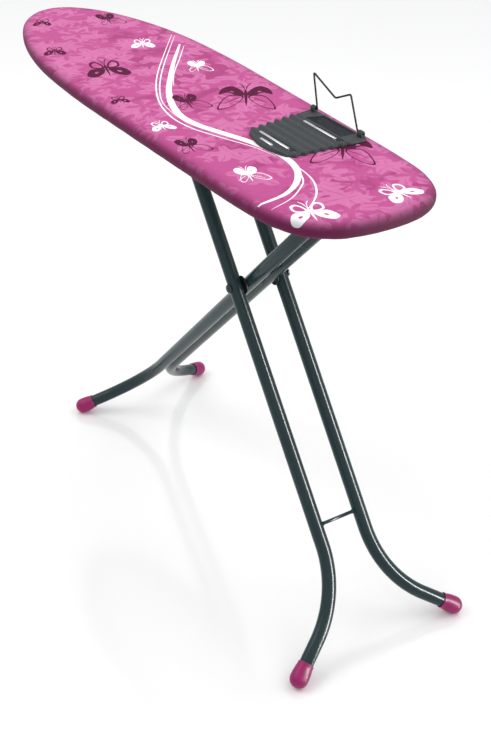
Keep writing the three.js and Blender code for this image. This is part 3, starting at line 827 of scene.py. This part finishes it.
def leg_path(leg, top, foot, side):
    """Centre line of one tube, from its top down to its foot, and the foot's outward direction."""
    up = (top - SCISSOR).normalized()
    bend = math.radians(leg["bend"])
    radius = leg["bend_radius"]
    splay = abs(foot.y) - leg["tube_y"]
    straight = (splay - radius * (1 - math.cos(bend))) / math.sin(bend)
    arc_start = radius * math.sin(bend) + straight * math.cos(bend)
    ground = Vector((foot.x, 0, FOOT_CENTRE_Z))
    length = (top - ground).length

    def at(along, out):
        point = ground + up * along
        point.y = side * out
        return point

    straight_part = (length - leg["trim"], length * 0.7, length * 0.45, arc_start + 20)
    path = [at(along, leg["tube_y"]) for along in straight_part]
    steps = 28
    for i in range(steps + 1):
        turned = bend * i / steps
        out = leg["tube_y"] + radius * (1 - math.cos(turned))
        path.append(at(arc_start - radius * math.sin(turned), out))
    tip = 8
    path.append(at(tip * math.cos(bend), abs(foot.y) - tip * math.sin(bend)))
    outward = -up * math.cos(bend)
    outward.y = side * math.sin(bend)
    return path, outward.normalized()


def make_foot_cap(name, centre, outward, body, node):
    """Bulb-ended plastic cap with a lip, a shallow neck and a flat where it stands."""
    bore = TUBE_RADIUS + 0.2
    profile = [(0, -7), (bore, -7), (bore, -29), (bore + 0.8, -29.6), (bore + 1.7, -28.8)]
    profile += [(bore + 1.8, -26.5), (bore + 1.5, -25.2), (15.9, -21), (16.8, -15), (17.3, -8)]
    arc_steps = 12
    for i in range(arc_steps):
        angle = math.pi / 2 * i / arc_steps
        profile.append((FOOT_RADIUS * math.cos(angle), FOOT_RADIUS * math.sin(angle)))
    profile.append((0, FOOT_RADIUS))
    cap = lathe(name, profile, centre, cap_plastic, body, node, outward)
    for vertex in cap.data.vertices:
        vertex.co.z = max(vertex.co.z, 0.0)
    cap.data.update()


def make_legs():
    for kind, leg, top in (("outer", OUTER_LEG, CARRIAGE), ("inner", INNER_LEG, HINGE)):
        body = f"{kind}_leg"
        for side_name, side in SIDES:
            foot = Vector(MOUNTS[f"{kind}_foot_{side_name}"]["pos_m"]) / MM
            path, outward = leg_path(leg, top, foot, side)
            tube(f"{kind}_tube_{side_name}", path, TUBE_RADIUS, tube_paint, body,
                 f"{kind}_leg_tube_{side_name}")
            centre = Vector((foot.x, foot.y, FOOT_CENTRE_Z))
            make_foot_cap(f"{kind}_foot_{side_name}", centre, outward, body,
                          f"{kind}_foot_cap_{side_name}")
    make_cross_rod()
    make_braces()


def node_centre(node):
    low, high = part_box(node)
    return (Vector(low) + Vector(high)) / 2 / MM


def make_cross_rod():
    """Thin tie rod with a small weld bead against each tube."""
    centre = node_centre("outer_leg_cross_rod")
    half = 35.2
    profile = mirrored([(0, -half), (5.2, -half), (4.6, -half + 1.6), (3.3, -half + 3.4)])
    lathe("cross_rod", profile, centre, tube_paint, "outer_leg", "outer_leg_cross_rod", sharp=60)


def make_braces():
    """Short pieces welded between the twin tubes, necked in the middle."""
    for node in ("inner_leg_brace_upper", "inner_leg_brace_lower"):
        profile = [(0, -5.2), (7.8, -5.2), (6.4, -3.2), (5.8, 0), (6.4, 3.2), (7.8, 5.2), (0, 5.2)]
        lathe(node.replace("inner_leg", "twin_tube"), profile, node_centre(node), tube_paint,
              "inner_leg", node, sharp=60)


def make_brace_pins():
    """Heads of the pin that ties the twin tubes together above the pivot, one on each outer side."""
    up = (HINGE - SCISSOR).normalized()
    place = SCISSOR + up * BRACE_PIN_ABOVE_PIVOT
    surface = INNER_LEG["tube_y"] + TUBE_RADIUS
    for side_name, side in SIDES:
        head = [(0, -2.0), (3.4, -2.0), (3.4, 0.3), (2.6, 0.9), (1.2, 1.1), (0, 1.1)]
        centre = Vector((place.x, side * surface, place.z))
        lathe(f"brace_pin_{side_name}", head, centre, bolt_black, "inner_leg", axis=(0, side, 0), sides=20)


def sleeve(name, node, body, centre, sizes, material):
    """A turned ring: bore, outer radius, both ends' places along the axis, and chamfer."""
    bore, outer, low, high, chamfer = sizes
    profile = [
        (bore, low), (outer - chamfer, low), (outer, low + chamfer), (outer, high - chamfer),
        (outer - chamfer, high), (bore, high),
    ]
    lathe(name, profile, centre, material, body, node)


def make_pivots():
    bolt = [(0, -67.6), (4, -67.3), (7, -66), (8.7, -64), (9, -62.8), (4, -62.7), (4, 65)]
    bolt += [(3.4, 65.7), (0, 65.7)]
    lathe("pivot_bolt", bolt, SCISSOR, bolt_black, "outer_leg", "scissor_bolt", slot="zinc_metal")
    for name, radius, low, high, material in (
        ("nut", 8, 62.8, 66.6, bolt_black),
        ("spacer_near", 18, -35.1, -32.8, black_plastic),
        ("spacer_far", 18, 32.8, 35.1, black_plastic),
    ):
        sizes = (4.3, radius, low, high, 0.7)
        sleeve(f"pivot_{name}", f"scissor_{name}", "outer_leg", SCISSOR, sizes, material)
    sleeve("pivot_bush", "scissor_spacer_middle", "inner_leg", SCISSOR, (4.3, 9, -5.2, 5.2, 0.6),
           black_plastic)
    sleeve("hinge_sleeve", "inner_leg_sleeve", "inner_leg", HINGE, (6.3, 10, -28, 28, 0.8), tube_paint)
    axle = mirrored([(0, -35), (5.2, -35), (6, -34.2)])
    lathe("hinge_pin", axle, HINGE, zinc, "board", "hinge_axle", slot="zinc_metal")
    for side_name, low in (("near", -33.1), ("far", 31.1)):
        sleeve(f"push_clip_{side_name}", f"axle_clip_{side_name}", "board", HINGE,
               (6.3, 8.5, low, low + 2, 0.6), zinc)
    bar = mirrored([(0, -83), (3.4, -83), (4, -82.4), (4, -64.6), (6.4, -64), (7, -63.4)])
    lathe("sliding_crossbar", bar, CARRIAGE, tube_paint, "outer_leg", "outer_leg_crossbar")


def make_rivets():
    """Domed rivet heads under the rails and the hinge bracket."""
    for node in frame["nodes"]:
        if "_rivet_" in node:
            top = node_centre(node)
            top.z = heights(node)[1]
            dome = [(0, 0), (5, 0), (5, -0.7), (4.6, -1.4), (3.6, -2.1), (2.0, -2.5), (0, -2.6)]
            lathe(node.replace("rivet", "rivet_head"), dome, top, zinc, "board", node, (0, 0, 1), sides=24)


def make_lever():
    """The release's rod, and a ribbed grip whose ends round off."""
    centre = node_centre("lever_rod")
    low, high = (corner[1] - centre.y for corner in box_mm("lever_rod"))
    rod = [(0, low), (3.3, low), (4, low + 0.8), (4, high - 0.8), (3.3, high), (0, high)]
    lathe("release_rod", rod, centre, tube_paint, "height_lever", "lever_rod")
    ribs = 6
    steps = 36
    near_end, far_end = -14.0, 28.5
    grip = [(4.3, near_end)]
    for i in range(steps + 1):
        share = i / steps
        from_end = min(share, 1 - share)
        end_round = math.sin(math.pi * from_end * 6) if from_end < 1 / 12 else 1.0
        radius = 4.6 + (2.2 + 0.55 * math.cos(share * 2 * math.pi * ribs)) * end_round
        grip.append((radius, near_end + (far_end - near_end) * share))
    grip.append((4.3, far_end))
    lathe("release_grip", grip, node_centre("lever_grip"), grip_plastic, "height_lever", "lever_grip",
          sharp=60)


# ---- Iron rest ----
MAT_NEAR_Y = -14
MAT_BULGE = 13
MAT_FAR_Y = 147
RIDGED_TO_Y = 106
RECESS_TO_Y = 142
RECESS_RIGHT_X = 322
STRIP_BOXES = [box_mm(node) for node in ("rest_strip_far", "rest_strip_near")]


def recess_left(y):
    """Left edge of the sunk panel between the cord guide's feet; it leans like the mat's side."""
    return 211 + 0.3 * (y - RIDGED_TO_Y)


def ridge_wave(y):
    """1 on the crest of a ridge and -1 in a valley."""
    return math.cos(2 * math.pi * (y - NEAR_STRIP_RIDGE_Y) / RIDGE_PITCH)


def mat_height(x, y, base, top):
    """Ridges along the board, and a flat part with the sunk panel beyond them."""
    if y > RIDGED_TO_Y:
        inset = min(y - RIDGED_TO_Y - 2, RECESS_TO_Y - y, x - recess_left(y), RECESS_RIGHT_X - x)
        return base + 4.6 - 1.8 * smoothstep(inset, 0, 2.5)
    valley = base + 3.4
    return valley + (top - valley) * (0.5 + 0.5 * ridge_wave(y)) ** 0.8


def strip_slot(x, y):
    """Whether a place is on the flat land beside one of the metal strips, coloured near black as painted shade
    beside the bar.
    """
    for low, high in STRIP_BOXES:
        if low[0] + 22 < x < high[0] + 13 and low[1] - 0.5 < y < high[1] + 7.5:
            return not (x < high[0] + 1 and y < high[1] + 0.6)
    return False


def edge_steps(count):
    """Shares from 0 to 1, closer together at both ends for the rounded edge."""
    return np.concatenate([[0, 0.004, 0.012], np.linspace(0.02, 0.98, count), [0.988, 0.996, 1]])


def mat_place(u, v):
    """A place on the mat, a share u of the way along the board and v of the way to the far side."""
    near_y = MAT_NEAR_Y - MAT_BULGE * math.sin(math.pi * u)
    far_y = MAT_FAR_Y - 1.5 * (2 * u - 1) ** 4
    y = near_y + (far_y - near_y) * v
    share = (y - MAT_NEAR_Y) / (MAT_FAR_Y - MAT_NEAR_Y)
    scallop = 2.2 * ridge_wave(y) if y < RIDGED_TO_Y + 4 else 0
    corner = 9 * max(0.0, 1 - v / 0.07) ** 2 + 6 * max(0.0, (v - 0.95) / 0.05) ** 2
    left = 212 - 33 * share - scallop + corner
    right = 346 + 5 * share + scallop - corner
    return left + (right - left) * u, y


def make_mat():
    base, top = heights("iron_rest_mat")
    us, vs = edge_steps(96), edge_steps(150)
    edge_drop = (3.0, 1.0, 0.25)
    upper, dark = [], []
    for row, v in enumerate(vs):
        for column, u in enumerate(us):
            x, y = mat_place(u, v)
            border = min(row, len(vs) - 1 - row, column, len(us) - 1 - column)
            drop = edge_drop[border] if border < 3 else 0.0
            # Land beside a strip takes the dark panel colour as painted shade
            sunk = strip_slot(x, y)
            z = (top - 0.9 if sunk else mat_height(x, y, base, top)) - drop
            upper.append((x, y, max(z, base + 0.2)))
            recess = RIDGED_TO_Y + 2 < y < RECESS_TO_Y and recess_left(y) < x < RECESS_RIGHT_X
            dark.append(sunk or recess)
    count = len(upper)
    width = len(us)
    faces, material_index = [], []
    for row in range(len(vs) - 1):
        for a in range(row * width, (row + 1) * width - 1):
            faces.append((a, a + 1, a + width + 1, a + width))
            material_index.append(int(dark[a] and dark[a + width + 1]))
    grid = np.arange(count).reshape(len(vs), width)
    rim = np.concatenate([grid[0], grid[1:, -1], grid[-1, -2::-1], grid[-2:0:-1, 0]]).tolist()
    vertices = upper + [(*upper[i][:2], base) for i in rim]
    for k, a in enumerate(rim):
        after = (k + 1) % len(rim)
        faces.append((a, count + k, count + after, rim[after]))
    faces.append(tuple(range(len(vertices) - 1, count - 1, -1)))
    material_index += [0] * (len(rim) + 1)
    mat = piece("ribbed_rest_mat", vertices, faces, [mat_rubber, mat_dark], "board", "iron_rest_mat",
                slot="mat_rubber")
    mat.data.polygons.foreach_set("material_index", material_index)
    fix_normals(mat)
    sharpen(mat, 50)


def make_strips():
    """Slim metal bars with rounded shoulders, each clipped on a ridge."""
    for node in ("rest_strip_far", "rest_strip_near", "rest_strip_short"):
        low, high = box_mm(node)
        half = (high[1] - low[1]) / 2
        section = [(-half, -1.8), (-half, 0.7), (-half + 0.7, 1.3)]
        section += [(-y, z) for y, z in reversed(section)]
        y = (low[1] + high[1]) / 2
        z = low[2] - 0.2
        stations = ((low[0], 0.8), (low[0] + 0.8, 1.0), (high[0] - 0.8, 1.0), (high[0], 0.8))
        vertices = [(x, y + a * scale, z + b * scale) for x, scale in stations for a, b in section]
        sides = len(section)
        faces = bridge(len(stations), sides)
        faces += [tuple(range(sides)), tuple(range(len(vertices) - sides, len(vertices)))]
        bar = piece(node.replace("rest_strip", "rest_bar"), vertices, faces, strip_metal, "board", node)
        fix_normals(bar)
        sharpen(bar, 30)


def make_wire_sockets():
    """Low barrel-shaped housings that hold the wire's turned-out ends, each with a dark mouth."""
    pivot = joint_place("cord_guide_fold")
    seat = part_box("iron_rest_mat")[0][2] + 4.0 * MM
    for node in ("wire_socket_left", "wire_socket_right"):
        low, high = box_mm(node)
        middle = (low[0] + high[0]) / 2
        half = (high[0] - low[0]) / 2
        profile = mirrored([(2.1, -half), (3.6, -half), (4.6, -half + 1.2), (4.9, -half + 3)])
        centre = (middle, pivot.y, pivot.z)
        housing = lathe(node.replace("socket", "housing"), profile, centre, mat_rubber, "board", node,
                        (1, 0, 0), sides=28, sharp=50)
        for vertex in housing.data.vertices:
            away = math.hypot(vertex.co.y - pivot.y * MM, vertex.co.z - pivot.z * MM)
            if away > 3 * MM and vertex.co.z < (pivot.z - 0.5) * MM:
                vertex.co.z = seat
        housing.data.update()


def make_cord_guide():
    """Bent wire loop with a high corner, a notch and a lower corner."""
    pivot = joint_place("cord_guide_fold")
    y, z = pivot.y, pivot.z
    corners = [(191, z), (204, z), (188, 932), (257, 906), (301, 926), (326, z), (339, z)]
    corners = [Vector((x, y, height)) for x, height in corners]
    path = [corners[0]]
    bend = 5.0
    for before, corner, after in zip(corners, corners[1:], corners[2:]):
        start = corner + (before - corner).normalized() * bend
        end = corner + (after - corner).normalized() * bend
        for i in range(9):
            t = i / 8
            path.append(start * (1 - t) ** 2 + corner * 2 * t * (1 - t) + end * t ** 2)
    path.append(corners[-1])
    tube("cord_guide", path, 1.75, wire_coat, "cord_guide", "cord_guide_wire", sides=16)


# ---- CAD nodes whose shape stays ----
KEPT = {
    zinc: ("guide_rail_near", "guide_rail_far", "hinge_bracket", "lever_bracket", "lever_pin",
           "lever_spring", "notched_bar"),
    black_plastic: ("slide_shoe_near", "slide_shoe_far", "cord_lock"),
}


def dress_kept_nodes():
    for material, nodes in KEPT.items():
        for node in nodes:
            for slot in frame["nodes"][node].material_slots:
                slot.material = material


# ---- Floor, light and camera ----
CAMERA_PLACE = (1.7785, -0.9657, 1.5735)
CAMERA_YAW = 58.71
CAMERA_PITCH = 33.80
CAMERA_ROLL = 0.27
CAMERA_LENS = 52.74


def make_floor():
    look = Look("pale_floor", (0.93,) * 3, 0.13, IOR=1.8)
    look.color(look.mix(look.noise(2, 2), (0.92,) * 3, (0.94,) * 3))
    mesh = bpy.data.meshes.new("floor")
    half = 60
    corners = [(-half, -half, 0), (half, -half, 0), (half, half, 0), (-half, half, 0)]
    mesh.from_pydata(corners, [], [(0, 1, 2, 3)])
    mesh.materials.append(look.material)
    floor = bpy.data.objects.new("floor", mesh)
    bpy.context.collection.objects.link(floor)
    floor.location.z = -0.0004


def make_light(name, place, target, size, power, highlight_only=False):
    data = bpy.data.lights.new(name, "AREA")
    data.shape = "RECTANGLE"
    data.size, data.size_y = size
    data.energy = power
    lamp = bpy.data.objects.new(name, data)
    bpy.context.collection.objects.link(lamp)
    lamp.location = place
    aim = Vector(target) - Vector(place)
    lamp.rotation_euler = aim.to_track_quat("-Z", "Y").to_euler()
    lamp.visible_diffuse = not highlight_only


def make_world():
    """White overhead, a little dimmer towards the horizon."""
    world = bpy.data.worlds.new("studio")
    world.use_nodes = True
    nodes, links = world.node_tree.nodes, world.node_tree.links
    place = nodes.new("ShaderNodeTexCoord")
    split = nodes.new("ShaderNodeSeparateXYZ")
    ramp = nodes.new("ShaderNodeValToRGB")
    links.new(place.outputs["Generated"], split.inputs[0])
    links.new(split.outputs["Z"], ramp.inputs["Fac"])
    links.new(ramp.outputs["Color"], nodes["Background"].inputs["Color"])
    horizon, overhead = ramp.color_ramp.elements
    horizon.color = (0.72, 0.73, 0.74, 1)
    overhead.position = 0.55
    nodes["Background"].inputs["Strength"].default_value = 0.98
    bpy.context.scene.world = world


def make_studio():
    make_floor()
    make_world()
    middle = (0, 0, 0.6)
    make_light("key", (-1.4, -2.0, 3.4), middle, (2.4, 2.4), 38)
    make_light("fill", (0.8, 1.8, 3.2), middle, (2.4, 2.4), 26)
    make_light("streak", (2.7, 1.8, 1.1), (0.3, 0, 0.5), (0.45, 2.8), 260, highlight_only=True)
    bpy.context.scene.view_settings.view_transform = "Standard"


def make_camera():
    data = bpy.data.cameras.new("camera")
    data.lens = CAMERA_LENS
    data.sensor_width = 36
    camera = bpy.data.objects.new("camera", data)
    bpy.context.collection.objects.link(camera)
    aim = Matrix.Translation(CAMERA_PLACE)
    for degrees, axis in ((CAMERA_YAW, "Z"), (90 - CAMERA_PITCH, "X"), (CAMERA_ROLL, "Z")):
        aim = aim @ Matrix.Rotation(math.radians(degrees), 4, axis)
    camera.matrix_world = aim
    bpy.context.scene.camera = camera


make_camera()
make_studio()
make_foam()
make_cover()
make_panel()
make_legs()
make_brace_pins()
make_pivots()
make_rivets()
make_lever()
make_mat()
make_strips()
make_wire_sockets()
make_cord_guide()
dress_kept_nodes()


def plain(bounds):
    return [[float(value) for value in corner] for corner in bounds]
